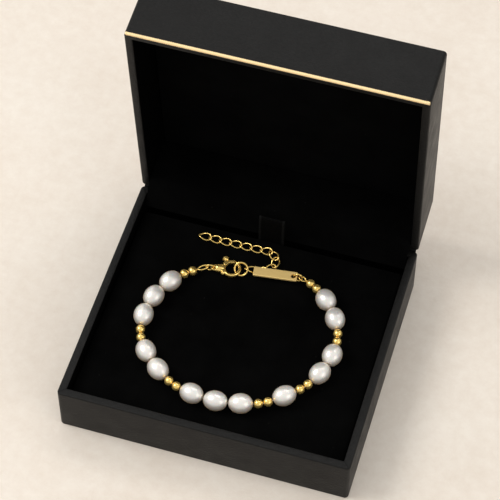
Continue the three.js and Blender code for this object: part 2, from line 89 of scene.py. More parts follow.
# %% [markdown]
# The floor is a pale plastered table top. Soft light comes from a big panel above on the left, with a
# weaker one on the right that lifts the box's side, and a strip behind. Gold and pearls show what is around
# them, so the panels are large and the room is pale, brighter overhead than at the floor. The picture uses
# the Standard display transform, because the default one lifts black velvet to grey.

# %% Helpers for node trees
def add(tree, kind, wires=(), **settings):
    """Adds a node. wires pairs an input's name or number with a value or another node's output."""
    made = tree.nodes.new(kind)
    for key, value in settings.items():
        setattr(made, key, value)
    for key, value in dict(wires).items():
        if isinstance(value, bpy.types.NodeSocket):
            tree.links.new(value, made.inputs[key])
        else:
            made.inputs[key].default_value = value
    return made


def surface(name, **sockets):
    """A material whose shader has these plain values. Returns the material, its tree, its shader."""
    material = bpy.data.materials.new(name)
    material.use_nodes = True
    shader = material.node_tree.nodes["Principled BSDF"]
    for key, value in sockets.items():
        shader.inputs[key.replace("_", " ")].default_value = value
    return material, material.node_tree, shader


def mixed(tree, amount, first, second):
    """A colour between two, by an amount from 0 to 1."""
    made = add(tree, "ShaderNodeMix", data_type="RGBA")
    for place, value in ((0, amount), (6, first), (7, second)):
        if isinstance(value, bpy.types.NodeSocket):
            tree.links.new(value, made.inputs[place])
        else:
            made.inputs[place].default_value = value
    return made.outputs[2]


def noise(tree, place, size, detail=3.0, roughness=0.55):
    """Noise whose lumps are about size metres across."""
    return add(tree, "ShaderNodeTexNoise", {
        "Vector": place, "Scale": 1 / size, "Detail": detail, "Roughness": roughness}).outputs["Fac"]


def ranged(tree, value, low, high, to_low, to_high):
    """Maps a value from one range to another."""
    return add(tree, "ShaderNodeMapRange", {0: value, 1: low, 2: high, 3: to_low, 4: to_high}).outputs[0]


def summed(tree, operation, first, second):
    return add(tree, "ShaderNodeMath", {0: first, 1: second}, operation=operation).outputs[0]


def bumped(tree, shader, height, distance, strength=1.0):
    made = add(tree, "ShaderNodeBump", {"Height": height, "Distance": distance, "Strength": strength})
    tree.links.new(made.outputs["Normal"], shader.inputs["Normal"])


def grey(value):
    return (value, value, value, 1.0)


print("helpers ready")

# %% Floor
floor_material, tree, shader = surface("pale_plaster", Roughness=0.75, Specular_IOR_Level=0.3)
place = add(tree, "ShaderNodeTexCoord").outputs["Object"]
mottle = summed(tree, "ADD", noise(tree, place, 0.045, 6.0, 0.65), noise(tree, place, 0.004, 5.0, 0.7))
plaster_mix = ranged(tree, mottle, 0.75, 1.25, 0, 1)
tree.links.new(mixed(tree, plaster_mix, (0.74, 0.66, 0.575, 1), (0.81, 0.745, 0.665, 1)),
               shader.inputs["Base Color"])
bumped(tree, shader, mottle, 0.25 * MM, 0.5)

floor_mesh = bpy.data.meshes.new("floor")
reach = 2.0
floor_mesh.from_pydata(
    [(-reach, -reach, 0), (reach, -reach, 0), (reach, reach, 0), (-reach, reach, 0)], [], [(0, 1, 2, 3)])
floor = bpy.data.objects.new("floor", floor_mesh)
bpy.context.scene.collection.objects.link(floor)
floor.data.materials.append(floor_material)
print("floor", 2 * reach, "m wide")


# %% Lights
def panel_light(name, place, target, size, watts, colour):
    data = bpy.data.lights.new(name, "AREA")
    data.shape = "RECTANGLE"
    data.size, data.size_y = size
    data.energy = watts
    data.color = colour
    light = bpy.data.objects.new(name, data)
    bpy.context.scene.collection.objects.link(light)
    light.location = place
    light.rotation_euler = (Vector(target) - Vector(place)).to_track_quat("-Z", "Y").to_euler()


panel_light("key_panel", (-0.75, -0.15, 0.95), (0, 0.02, 0), (0.6, 0.5), 6.5, (1.0, 0.98, 0.95))
panel_light("fill_panel", (0.9, -0.35, 0.55), (0, 0.0, 0.02), (0.6, 0.6), 1.5, (1.0, 0.96, 0.9))
panel_light("top_strip", (0.1, 0.55, 0.9), (0, 0.05, 0.05), (0.9, 0.25), 1.5, (1.0, 0.98, 0.96))

world = bpy.data.worlds.new("room")
world.use_nodes = True
tree = world.node_tree
direction = add(tree, "ShaderNodeTexCoord").outputs["Generated"]
height = add(tree, "ShaderNodeSeparateXYZ", {0: direction}).outputs["Z"]
tree.links.new(ranged(tree, height, 0.0, 0.9, 0.5, 0.86), tree.nodes["Background"].inputs["Strength"])
tree.nodes["Background"].inputs["Color"].default_value = (0.96, 0.95, 0.935, 1)
bpy.context.scene.world = world
bpy.context.scene.view_settings.view_transform = "Standard"

# %% [markdown]
# The box is covered in leatherette: a thin black plastic skin with a fine pebbled grain and a low sheen.
# Rounded pebbles come from a Voronoi pattern, broken up by noise, and only as bump, because the grain is
# less than a tenth of a millimetre deep. The skin is cut at 45 degrees where it folds over the rim's
# corners. That cut is a thin dark line in the material, and it reads an attribute, because it belongs to the
# piece's own shape. A second attribute marks the inside of the walls, which gets painted shade: its colour
# is darker than the rest, and it hardly shines.

# %% Leatherette
leatherette, tree, shader = surface("leatherette")
place = add(tree, "ShaderNodeTexCoord").outputs["Object"]
pebbles = add(tree, "ShaderNodeTexVoronoi", {"Vector": place, "Scale": 1 / (0.55 * MM), "Randomness": 0.9})
creases = noise(tree, place, 0.9 * MM, 4.0)
drawn = add(tree, "ShaderNodeAttribute", attribute_name="mitre")
cut_line = ranged(tree, drawn.outputs["Fac"], 0.05 * MM, 0.14 * MM, 1, 0)
tone = mixed(
    tree, ranged(tree, creases, 0.35, 0.65, 0, 1), (0.004, 0.004, 0.0038, 1), (0.0075, 0.0072, 0.0068, 1))
# The inside of the walls is painted darker here: painted shade for that recess.
inside = add(tree, "ShaderNodeAttribute", attribute_name="inside").outputs["Fac"]
skin = mixed(tree, inside, mixed(tree, cut_line, tone, grey(0.0015)), grey(0.0014))
tree.links.new(skin, shader.inputs["Base Color"])
tree.links.new(ranged(tree, inside, 0, 1, 0.18, 0.02), shader.inputs["Specular IOR Level"])
tree.links.new(ranged(tree, noise(tree, place, 6 * MM, 3.0), 0.3, 0.7, 0.4, 0.52), shader.inputs["Roughness"])
grain = summed(tree, "ADD", pebbles.outputs["Distance"], summed(tree, "MULTIPLY", creases, 0.8))
grain = summed(tree, "SUBTRACT", grain, summed(tree, "MULTIPLY", cut_line, 2.5))
bumped(tree, shader, grain, 0.08 * MM, 0.9)
print("leatherette nodes", len(tree.nodes))

# %% [markdown]
# The tray and the lid are the same kind of shell: a wall of one thickness round a flat bottom. A shell like
# that is easiest as rings. Each ring is a rounded rectangle at some height, set in from the outside by some
# amount, and the rings follow one profile: under the bottom, up the outside, over the rim and down the
# inside. Two flat faces close it.

# %% Rings and shells
def new_piece(name, vertices, faces, material, smooth_angle=40):
    mesh = bpy.data.meshes.new(name)
    mesh.from_pydata([tuple(v) for v in vertices], [], faces)
    mesh.validate()
    mesh.polygons.foreach_set("use_smooth", [True] * len(mesh.polygons))
    mesh.set_sharp_from_angle(angle=math.radians(smooth_angle))
    mesh.materials.append(material)
    piece = bpy.data.objects.new(name, mesh)
    bpy.context.scene.collection.objects.link(piece)
    return piece


def rounded_rectangle(half_x, half_y, radius, steps):
    points = []
    for sign_x, sign_y, start in ((1, 1, 0), (-1, 1, 90), (-1, -1, 180), (1, -1, 270)):
        for step in range(steps + 1):
            angle = math.radians(start + 90 * step / steps)
            points.append((sign_x * (half_x - radius) + radius * math.cos(angle),
                           sign_y * (half_y - radius) + radius * math.sin(angle)))
    return points


def quarter(inset, height, radius, start, steps=5):
    """Points of a rounded edge in (inset, height), round a centre, over 90 degrees from start."""
    angles = [math.radians(start + 90 * step / steps) for step in range(steps + 1)]
    return [(inset - radius * math.cos(a), height + radius * math.sin(a)) for a in angles]


def shell_rings(half_x, half_y, profile, corner, steps=6):
    """Rings along a profile of (inset, height), joined by faces and closed at both ends."""
    vertices = []
    for inset, height in profile:
        radius = max(corner - inset, 0.35 * MM)
        outline = rounded_rectangle(half_x - inset, half_y - inset, radius, steps)
        vertices += [(x, y, height) for x, y in outline]
    count = 4 * (steps + 1)
    faces = [list(range(count))[::-1]]
    for ring in range(len(profile) - 1):
        for k in range(count):
            after = (k + 1) % count
            here, beyond = ring * count, (ring + 1) * count
            faces.append([here + k, here + after, beyond + after, beyond + k])
    faces.append([(len(profile) - 1) * count + k for k in range(count)])
    return np.array(vertices), faces


def mark_mitre(piece, drawn, half_x, half_y, rim_height):
    """Each point's distance from the nearest 45 degree line over the rim, and whether it is on the inside."""
    across = np.abs((np.abs(drawn[:, 0]) - half_x) - (np.abs(drawn[:, 1]) - half_y))
    attribute = piece.data.attributes.new("mitre", "FLOAT", "POINT")
    near_rim = np.abs(drawn[:, 2] - rim_height) < 0.75 * MM
    attribute.data.foreach_set("value", np.where(near_rim, across, 20 * MM))
    # Points on the inside of the walls, where the leatherette gets painted shade.
    deep = np.minimum(half_x - np.abs(drawn[:, 0]), half_y - np.abs(drawn[:, 1])) > wall - 0.01 * MM
    attribute = piece.data.attributes.new("inside", "FLOAT", "POINT")
    attribute.data.foreach_set("value", (deep & (drawn[:, 2] < rim_height - 0.1 * MM)).astype(float))


wall, corner, edge_round, inner_round = 2.6 * MM, 1.3 * MM, 0.5 * MM, 0.3 * MM
print("wall", wall, "corner", corner)

# %% Tray
tray_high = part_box("tray")[1]
half_x, half_y, rim = tray_high.x, tray_high.y, tray_high.z
floor_top = 2.0 * MM
tray_profile = (
    quarter(edge_round, edge_round, edge_round, -90)
    + quarter(edge_round, rim - edge_round, edge_round, 0)
    + quarter(wall - inner_round, rim - inner_round, inner_round, 90, 3)
    + [(wall, floor_top)])
tray_points, tray_faces = shell_rings(half_x, half_y, tray_profile, corner)
tray = new_piece("tray_shell", tray_points, tray_faces, leatherette)
mark_mitre(tray, tray_points, half_x, half_y, rim)
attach(tray, "case")
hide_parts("tray")
print("tray", len(tray.data.polygons), "faces")

# %% [markdown]
# The lid is drawn closed, lying over the hinge line, because it is simplest there. One matrix then opens it
# about that line, and it is put into the mesh, so the object itself stays at the origin.

# %% Lid
hinge = Vector((0, half_y, 18.5 * MM))
open_lid = Matrix.Translation(hinge) @ Matrix.Rotation(math.radians(-85), 4, "X")
rim_gap, lid_height, lid_top = 0.2 * MM, 19.8 * MM, 2.0 * MM
lid_profile = (
    quarter(edge_round, edge_round, edge_round, -90)
    + quarter(edge_round, lid_height - edge_round, edge_round, 0)
    + quarter(wall - inner_round, lid_height - inner_round, inner_round, 90, 3)
    + [(wall, lid_top)])
lid_points, lid_faces = shell_rings(half_x, half_y, lid_profile, corner)
lid = new_piece("lid_cover", lid_points, lid_faces, leatherette)
mark_mitre(lid, lid_points, half_x, half_y, lid_height)
upside_down = Matrix.Translation((0, -half_y, rim_gap + lid_height)) @ Matrix.Rotation(math.pi, 4, "X")
lid.data.transform(open_lid @ upside_down)
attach(lid, "lid")
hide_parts("lid_shell")
print("lid", len(lid.data.polygons), "faces")

# %% [markdown]
# A gold line runs along the lid's front edge. Close up it is a thin cord: three strands of metallic yarn
# twisted round each other. Geometry Nodes suit it, because one spiral, turned three times, is the whole
# cord, and its thickness and twist are two numbers.

# %% Cord of gold yarn
gold_yarn, tree, shader = surface("gold_yarn", Metallic=0.35, Base_Color=(1.0, 0.76, 0.42, 1))
place = add(tree, "ShaderNodeTexCoord").outputs["Object"]
tree.links.new(ranged(tree, noise(tree, place, 0.3 * MM), 0.3, 0.7, 0.34, 0.5), shader.inputs["Roughness"])


def new_tree(name, sockets):
    """A node group with named inputs. Returns the tree, its two end nodes and the inputs' identifiers."""
    made = bpy.data.node_groups.new(name, "GeometryNodeTree")
    made.interface.new_socket("Geometry", in_out="INPUT", socket_type="NodeSocketGeometry")
    identifiers = {}
    for label, kind in sockets:
        identifiers[label] = made.interface.new_socket(label, in_out="INPUT", socket_type=kind).identifier
    made.interface.new_socket("Geometry", in_out="OUTPUT", socket_type="NodeSocketGeometry")
    return made, made.nodes.new("NodeGroupInput"), made.nodes.new("NodeGroupOutput"), identifiers


def grown(name, mesh, tree, identifiers, values):
    """Runs a tree on a mesh and returns the result as a plain mesh piece."""
    seed_piece = bpy.data.objects.new(name + "_seed", mesh)
    bpy.context.scene.collection.objects.link(seed_piece)
    modifier = seed_piece.modifiers.new("grow", "NODES")
    modifier.node_group = tree
    for label, value in values.items():
        modifier[identifiers[label]] = value
    graph = bpy.context.evaluated_depsgraph_get()
    result = bpy.data.meshes.new_from_object(seed_piece.evaluated_get(graph))
    seed_piece.modifiers.remove(modifier)
    bpy.data.objects.remove(seed_piece)
    result.name = name
    piece = bpy.data.objects.new(name, result)
    bpy.context.scene.collection.objects.link(piece)
    return piece


cord_tree, entry, leave, cord_inputs = new_tree("twisted_cord", [
    ("Length", "NodeSocketFloat"), ("Diameter", "NodeSocketFloat"), ("Turns", "NodeSocketFloat"),
    ("Points", "NodeSocketInt"), ("Finish", "NodeSocketMaterial")])
thickness = entry.outputs["Diameter"]
strand_radius = add(cord_tree, "ShaderNodeMath", {0: thickness, 1: 0.2}, operation="MULTIPLY").outputs[0]
strand_wire = add(cord_tree, "ShaderNodeMath", {0: thickness, 1: 0.3}, operation="MULTIPLY").outputs[0]
per_turn = add(cord_tree, "ShaderNodeMath", {
    0: entry.outputs["Points"], 1: entry.outputs["Turns"]}, operation="DIVIDE").outputs[0]
spiral = add(cord_tree, "GeometryNodeCurveSpiral", {
    "Resolution": per_turn, "Rotations": entry.outputs["Turns"], "Start Radius": strand_radius,
    "End Radius": strand_radius, "Height": entry.outputs["Length"]})
strands = cord_tree.nodes.new("GeometryNodeJoinGeometry")
for strand in range(3):
    turned = add(cord_tree, "GeometryNodeTransform", {
        "Geometry": spiral.outputs["Curve"], "Rotation": (0, 0, math.radians(120 * strand))})
    cord_tree.links.new(turned.outputs["Geometry"], strands.inputs["Geometry"])
section = add(
    cord_tree, "GeometryNodeCurvePrimitiveCircle", {"Resolution": 6, "Radius": strand_wire}, mode="RADIUS")
tubes = add(cord_tree, "GeometryNodeCurveToMesh", {
    "Curve": strands.outputs["Geometry"], "Profile Curve": section.outputs["Curve"], "Fill Caps": True})
real = add(cord_tree, "GeometryNodeRealizeInstances", {"Geometry": tubes.outputs["Mesh"]})
finished = add(cord_tree, "GeometryNodeSetMaterial", {
    "Geometry": real.outputs["Geometry"], "Material": entry.outputs["Finish"]})
cord_tree.links.new(finished.outputs["Geometry"], leave.inputs["Geometry"])
print("cord tree nodes", len(cord_tree.nodes))

# %% Gold line
line_length, line_diameter, line_inset = 94.0 * MM, 1.15 * MM, 0.36 * MM
gold_line = grown("gold_line_cord", bpy.data.meshes.new("seed"), cord_tree, cord_inputs, {
    "Length": line_length, "Diameter": line_diameter, "Turns": 46.0, "Points": 552, "Finish": gold_yarn})
along_edge = Matrix.Translation((-line_length / 2, -2 * half_y + line_inset, rim_gap + line_inset))
gold_line.data.transform(open_lid @ along_edge @ Matrix.Rotation(math.pi / 2, 4, "Y"))
gold_line.data.polygons.foreach_set("use_smooth", [True] * len(gold_line.data.polygons))
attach(gold_line, "lid")
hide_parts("gold_line")
print("gold line", len(gold_line.data.polygons), "faces")

# %% [markdown]
# Velvet drinks light. Its pile is a forest of hairs that stands up, so it is black face on and shows a
# faint grey bloom where it is seen at a slant: that is what the shader's sheen is for. A fine noise breaks
# the surface into tufts, and a few pale specks of lint lie on it, as they always do.

# %% Velvet
velvet, tree, shader = surface(
    "velvet", Roughness=1.0, Specular_IOR_Level=0.02, Sheen_Weight=0.004, Sheen_Roughness=0.5)
place = add(tree, "ShaderNodeTexCoord").outputs["Object"]
tufts = noise(tree, place, 0.35 * MM, 4.0, 0.7)
strokes = noise(tree, place, 14 * MM, 3.0)
pile = mixed(tree, ranged(tree, strokes, 0.35, 0.65, 0, 1), grey(0.0011), grey(0.0021))
specks = add(tree, "ShaderNodeTexVoronoi", {"Vector": place, "Scale": 1 / (4.2 * MM), "Randomness": 1.0})
lint = ranged(tree, specks.outputs["Distance"], 0.018, 0.03, 0.2, 0)
tree.links.new(mixed(tree, lint, pile, (0.16, 0.155, 0.15, 1)), shader.inputs["Base Color"])
bumped(tree, shader, tufts, 0.12 * MM, 0.7)
print("velvet nodes", len(tree.nodes))

# %% [markdown]
# The pad and the lid's panel are card or foam wrapped in velvet. Each is a block whose edges are round and
# whose faces are never quite flat. A grid over all six sides, closer together near the edges, can be pulled
# onto the rounded shape: every point moves to its distance from a smaller block inside. The pad rests under
# the beads, so its faint hollows only go down. A simulation would push it up into them, and it would show
# no more than this does.

# %% Soft blocks
def soft_block(name, low, high, edge, cell, material, shape=None):
    """A block with rounded edges on a grid of about cell metres. shape may move its points."""
    axes = []
    for a, b in zip(low, high):
        arc = edge * (1 - np.tan(np.radians(np.linspace(45, 0, 5)[:-1])))
        inner = np.linspace(a + edge, b - edge, max(2, round((b - a - 2 * edge) / cell) + 1))
        axes.append(np.concatenate([a + arc, inner, (b - arc)[::-1]]))
    index, vertices, faces = {}, [], []

    def point(key):
        if key not in index:
            index[key] = len(vertices)
            vertices.append([axes[axis][key[axis]] for axis in range(3)])
        return index[key]

    for axis in range(3):
        first, second = (axis + 1) % 3, (axis + 2) % 3
        for end in (0, len(axes[axis]) - 1):
            for i in range(len(axes[first]) - 1):
                for j in range(len(axes[second]) - 1):
                    square = []
                    for di, dj in ((0, 0), (1, 0), (1, 1), (0, 1)):
                        key = [0, 0, 0]
                        key[axis], key[first], key[second] = end, i + di, j + dj
                        square.append(point(tuple(key)))
                    faces.append(square if end else square[::-1])
    points = np.array(vertices)
    inside = np.clip(points, np.array(low) + edge, np.array(high) - edge)
    away = points - inside
    points = inside + away / np.linalg.norm(away, axis=1, keepdims=True) * edge
    if shape:
        points = shape(points)
    return new_piece(name, points, faces, material, 60)


def ripple(points, amount, length):
    """Shallow hollows from 0 down to amount, made of three waves that never line up."""
    x, y = points[:, 0] / length, points[:, 1] / length
    wave = np.sin(2.1 * x + 0.7 * y) + np.sin(1.3 * y - 1.7 * x + 1.1) + np.sin(2.9 * y + 0.6 * x + 2.3)
    return amount * (wave - 3) / 6


print("blocks ready")

# %% Pad
pad_low, pad_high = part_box("pad")


def pad_shape(points):
    high = np.clip((points[:, 2] - pad_low.z) / (pad_high.z - pad_low.z), 0, 1)
    points[:, 2] += ripple(points, 0.22 * MM, 11 * MM) * high
    return points


pad = soft_block("velvet_pad", pad_low, pad_high, 1.1 * MM, 1.4 * MM, velvet, pad_shape)
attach(pad, "case")
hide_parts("pad")
print("pad", len(pad.data.polygons), "faces")

# %% [markdown]
# At the back the two hinge linings are under one strip of velvet. It comes up from behind the pad, goes
# over the hinge and ends at the foot of the lid's panel, so no rim shows there. The strip is cloth pulled
# over a known route, so it is a section in (y, z) swept across the box, 0.5 mm thick. A thin strip of
# leatherette behind it closes the gap between the two shells, which is a guess. It folds out three quarters
# of a millimetre past the back when the box is shut. Its width is a compromise: a wider one sticks out
# more at the shut box's corners, and a narrower one leaves more of a notch in the open one.

# %% Velvet strip over the hinge
def smooth_path(points, count):
    """Catmull-Rom points through a list in (y, z)."""
    ends = [2 * points[0] - points[1], *points, 2 * points[-1] - points[-2]]
    out = []
    for k in range(1, len(ends) - 2):
        a, b, c, d = ends[k - 1:k + 3]
        for step in range(count):
            t = step / count
            out.append(0.5 * (
                2 * b + (c - a) * t + (2 * a - 5 * b + 4 * c - d) * t ** 2 + (3 * b - a - 3 * c + d) * t ** 3))
    return out + [points[-1]]


flap_route = [np.array(p) * MM for p in (
    (37.25, 14.6), (38.2, 16.4), (39.2, 18.4), (40.5, 20.9),
    (42.3, 22.7), (45.0, 23.2), (51.4, 23.8), (57.8, 24.3))]
flap_line = smooth_path(flap_route, 6)
flap_half, flap_thick = 44.6 * MM, 0.5 * MM
flap_across = np.linspace(-flap_half, flap_half, 61)
flap_length = sum(float(np.linalg.norm(b - a)) for a, b in zip(flap_line, flap_line[1:]))
flap_vertices = []
for k, middle in enumerate(flap_line):
    step = flap_line[min(k + 1, len(flap_line) - 1)] - flap_line[max(k - 1, 0)]
    normal = np.array((-step[1], step[0])) / np.linalg.norm(step)
    slack = math.sin(math.pi * k / (len(flap_line) - 1))
    for side in (1, -1):
        for x in flap_across[::side]:
            wave = 0.09 * MM * slack * (
                math.sin(x / (7 * MM) + 0.16 * k) + math.sin(x / (3.1 * MM) - 0.1 * k + 1))
            y, z = middle + normal * (side * flap_thick / 2 + wave - 0.1 * MM)
            flap_vertices.append((x, y, z))
flap_ring = 2 * len(flap_across)
flap_faces = [list(range(flap_ring))]
for k in range(len(flap_line) - 1):
    for j in range(flap_ring):
        after = (j + 1) % flap_ring
        here, beyond = k * flap_ring, (k + 1) * flap_ring
        flap_faces.append([here + j, beyond + j, beyond + after, here + after])
flap_faces.append([(len(flap_line) - 1) * flap_ring + j for j in range(flap_ring)][::-1])


def facing_out(piece):
    """Turns a closed piece's faces outward."""
    bm = bmesh.new()
    bm.from_mesh(piece.data)
    bmesh.ops.recalc_face_normals(bm, faces=bm.faces)
    bm.to_mesh(piece.data)
    bm.free()


flap = new_piece("hinge_velvet", flap_vertices, flap_faces, velvet, 60)
facing_out(flap)
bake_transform(flap)
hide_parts("hinge_lining", "lid_lining")
flap_size = [round(v / MM, 1) for v in (2 * flap_half, flap_length)]
print("strip", *flap_size, "mm,", len(flap.data.polygons), "faces")

# %% Leatherette strip behind the hinge
strip_route = [np.array(p) * MM for p in (
    (42.68, 15.6), (42.68, 17.4), (42.95, 18.1), (43.7, 18.36), (45.6, 18.54))]
strip_line = smooth_path(strip_route, 6)
strip_half, strip_thick = 46.7 * MM, 0.2 * MM
strip_vertices = []
for k, middle in enumerate(strip_line):
    step = strip_line[min(k + 1, len(strip_line) - 1)] - strip_line[max(k - 1, 0)]
    normal = np.array((-step[1], step[0])) / np.linalg.norm(step)
    for side, x in ((1, -1), (1, 1), (-1, 1), (-1, -1)):
        y, z = middle + normal * side * strip_thick / 2
        strip_vertices.append((x * strip_half, y, z))
strip_faces = [[0, 1, 2, 3]]
for k in range(len(strip_line) - 1):
    strip_faces += [[4 * k + j, 4 * k + 4 + j, 4 * k + 4 + (j + 1) % 4, 4 * k + (j + 1) % 4] for j in range(4)]
strip_faces.append([4 * (len(strip_line) - 1) + j for j in (3, 2, 1, 0)])
hinge_strip = new_piece("hinge_strip", strip_vertices, strip_faces, leatherette, 40)
facing_out(hinge_strip)
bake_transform(hinge_strip)
print("hinge strip", len(hinge_strip.data.polygons), "faces")

# %% Panel inside the lid
panel_top = rim_gap + lid_height - lid_top - 0.3 * MM
lid_panel = soft_block(
    "lid_velvet_panel", (-44.6 * MM, -82.1 * MM, panel_top - 1.6 * MM), (44.6 * MM, -2.9 * MM, panel_top),
    0.5 * MM, 2.0 * MM, velvet)
lid_panel.data.transform(open_lid)
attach(lid_panel, "lid")
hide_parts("lid_panel")
print("panel", len(lid_panel.data.polygons), "faces")

# %% [markdown]
# The pull tab is a doubled length of black ribbon that stands behind the pad. Ribbon is woven in ribs
# across its length and has a smooth woven edge, which is painted lighter: a painted highlight where light
# catches it. It is a strip, so it is modelled directly: a flat section follows the loop, and its own map
# runs along and across it for the ribs.

# %% Ribbon finish
ribbon, tree, shader = surface("ribbon", Sheen_Weight=0.005, Sheen_Roughness=0.4, Specular_IOR_Level=0.05)
strip = add(tree, "ShaderNodeSeparateXYZ", {0: add(tree, "ShaderNodeUVMap", uv_map="strip").outputs[0]})
ribs = add(tree, "ShaderNodeMath", {0: summed(tree, "MULTIPLY", strip.outputs["X"], math.pi / (0.28 * MM))},
           operation="SINE").outputs[0]
# Painted highlight: the ribbon's edges are a lighter black than its middle.
edge_highlight_band = ranged(tree, add(tree, "ShaderNodeMath", {0: strip.outputs["Y"]}, operation="ABSOLUTE").outputs[0],
                   3.5 * MM, 3.65 * MM, 0, 1)
ribbon_black_and_edge_highlight = mixed(tree, edge_highlight_band, (0.001, 0.001, 0.001, 1), (0.006, 0.006, 0.0058, 1))
tree.links.new(ribbon_black_and_edge_highlight, shader.inputs["Base Color"])
tree.links.new(ranged(tree, ribs, -1, 1, 0.75, 0.5), shader.inputs["Roughness"])
bumped(tree, shader, ribs, 0.05 * MM, 0.7)
print("ribbon nodes", len(tree.nodes))

# %% Pull tab
tab_low, tab_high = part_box("pull_tab")
tab_middle = (tab_low.x + tab_high.x) / 2
tab_half_width = (tab_high.x - tab_low.x) / 2
ribbon_thick = 0.4 * MM
slot_middle = 36.1 * MM
loop_top = tab_high.z - ribbon_thick / 2
tab_depth = (tab_high.y - tab_low.y) / 2 - ribbon_thick / 2
head_middle = (tab_high.y + tab_low.y) / 2
route = [
    (slot_middle - 0.25 * MM, tab_low.z), (slot_middle - 0.25 * MM, 13.9 * MM),
    (head_middle - tab_depth, 22.2 * MM), (head_middle, loop_top), (head_middle + tab_depth, 22.2 * MM),
    (slot_middle + 0.25 * MM, 13.9 * MM), (slot_middle + 0.25 * MM, tab_low.z)]
centre_line = smooth_path([np.array(p) for p in route], 8)
across = np.linspace(-tab_half_width, tab_half_width, 9)
tab_vertices, strip_map, travelled = [], [], 0.0
for k, middle in enumerate(centre_line):
    before, after = centre_line[max(k - 1, 0)], centre_line[min(k + 1, len(centre_line) - 1)]
    tangent = (after - before) / np.linalg.norm(after - before)
    normal = np.array((-tangent[1], tangent[0]))
    if k:
        travelled += float(np.linalg.norm(middle - centre_line[k - 1]))
    for side in (-1, 1):
        for x in across[::side]:
            thin = 0.5 if abs(x) > tab_half_width * 0.99 else 1.0
            y, z = middle + normal * side * ribbon_thick / 2 * thin
            tab_vertices.append((tab_middle + x, y, z))
            strip_map.append((travelled, x))
ring_count = 2 * len(across)
tab_faces = [list(range(ring_count))]
for k in range(len(centre_line) - 1):
    for j in range(ring_count):
        nxt = (j + 1) % ring_count
        here, beyond = k * ring_count, (k + 1) * ring_count
        tab_faces.append([here + j, beyond + j, beyond + nxt, here + nxt])
tab_faces.append([(len(centre_line) - 1) * ring_count + j for j in range(ring_count)][::-1])
tab = new_piece("ribbon_tab", tab_vertices, tab_faces, ribbon, 50)
facing_out(tab)
uv = tab.data.uv_layers.new(name="strip")
for corner_data in tab.data.loops:
    uv.data[corner_data.index].uv = strip_map[corner_data.vertex_index]
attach(tab, "case")
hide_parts("pull_tab")
print("ribbon", round(travelled / MM, 1), "mm long")

# %% [markdown]
# A pearl's lustre comes from thin layers of nacre over a white bead: light goes in a little, scatters, and
# comes back soft, under a clear skin. So the shader scatters light below its surface, is partly metallic,
# as the stacked layers mirror, and has a clear coat. A warm sheen and a warm tint show at a slant. The lift
# attribute is how far the surface faces up: what faces down is painted warmer and darker, which is painted
# shade with warm bounced light in it. Each pearl differs a little in tone.

# %% Pearl
pearl, tree, shader = surface(
    "pearl", Roughness=0.32,
    Subsurface_Weight=0.25, Subsurface_Scale=0.5 * MM, Subsurface_Radius=(1.0, 0.62, 0.45),
    Coat_Weight=1.0, Coat_Roughness=0.26, Coat_IOR=1.5, Coat_Tint=(0.98, 0.93, 0.85, 1),
    Specular_Tint=(0.8, 0.52, 0.26, 1),
    Sheen_Weight=1.0, Sheen_Roughness=0.22, Sheen_Tint=(0.8, 0.55, 0.28, 1), Metallic=0.42)
place = add(tree, "ShaderNodeTexCoord").outputs["Object"]
tint = add(tree, "ShaderNodeAttribute", attribute_name="tint").outputs["Fac"]
clouds = noise(tree, place, 4.5 * MM, 2.0)
shade = mixed(tree, tint, (0.85, 0.885, 0.95, 1), (0.92, 0.955, 1.0, 1))
rose = mixed(tree, ranged(tree, clouds, 0.35, 0.7, 0, 0.3), shade, (0.86, 0.84, 0.87, 1))
lift = add(tree, "ShaderNodeAttribute", attribute_name="lift").outputs["Fac"]
# Painted shade: where the pearl faces down, its colour turns a darker warm tan.
under = ranged(tree, lift, -0.4, 0.55, 0.75, 0)
tree.links.new(mixed(tree, under, rose, (0.62, 0.45, 0.28, 1)), shader.inputs["Base Color"])
bumped(tree, shader, summed(tree, "ADD", clouds, noise(tree, place, 1.1 * MM, 2.0)), 0.05 * MM, 0.5)
print("pearl nodes", len(tree.nodes))

# %% Polished gold
gold, tree, shader = surface("polished_gold", Metallic=0.8, Base_Color=(1.0, 0.71, 0.22, 1))
place = add(tree, "ShaderNodeTexCoord").outputs["Object"]
wear = noise(tree, place, 0.8 * MM, 4.0)
tree.links.new(ranged(tree, wear, 0.35, 0.7, 0.09, 0.16), shader.inputs["Roughness"])
bumped(tree, shader, wear, 0.008 * MM, 0.4)
print("gold nodes", len(tree.nodes))


# %% [markdown]
# The beads repeat, so one drilled bead is made for each kind and Geometry Nodes set a copy at each place. A
# bead is a profile turned about its hole: it starts and ends on the hole's wall, which closes it. The
# places come from the solids in the frame: a bead's middle is its box's middle, and a pearl's long axis is
# the direction its points spread most.

# %% A drilled bead and the tree that places it
def drilled_bead(name, length, diameter, hole, sides, arcs):
    """A bead about Z, closed by the wall of its hole."""
    start = math.asin(hole / diameter)
    half = length / 2 / math.cos(start)
    angles = np.linspace(start, math.pi - start, arcs + 1)
    profile = [(diameter / 2 * math.sin(a), -half * math.cos(a)) for a in angles]
    vertices, faces = [], []
    for radius, height in profile:
        for k in range(sides):
            turn = 2 * math.pi * k / sides
            vertices.append((radius * math.cos(turn), radius * math.sin(turn), height))
    rows = len(profile)
    for row in range(rows):
        for k in range(sides):
            a, b = row * sides, (row + 1) % rows * sides
            faces.append([a + k, a + (k + 1) % sides, b + (k + 1) % sides, b + k])
    mesh = bpy.data.meshes.new(name)
    mesh.from_pydata(vertices, [], faces)
    mesh.polygons.foreach_set("use_smooth", [True] * len(mesh.polygons))
    mesh.set_sharp_from_angle(angle=math.radians(45))
    return mesh


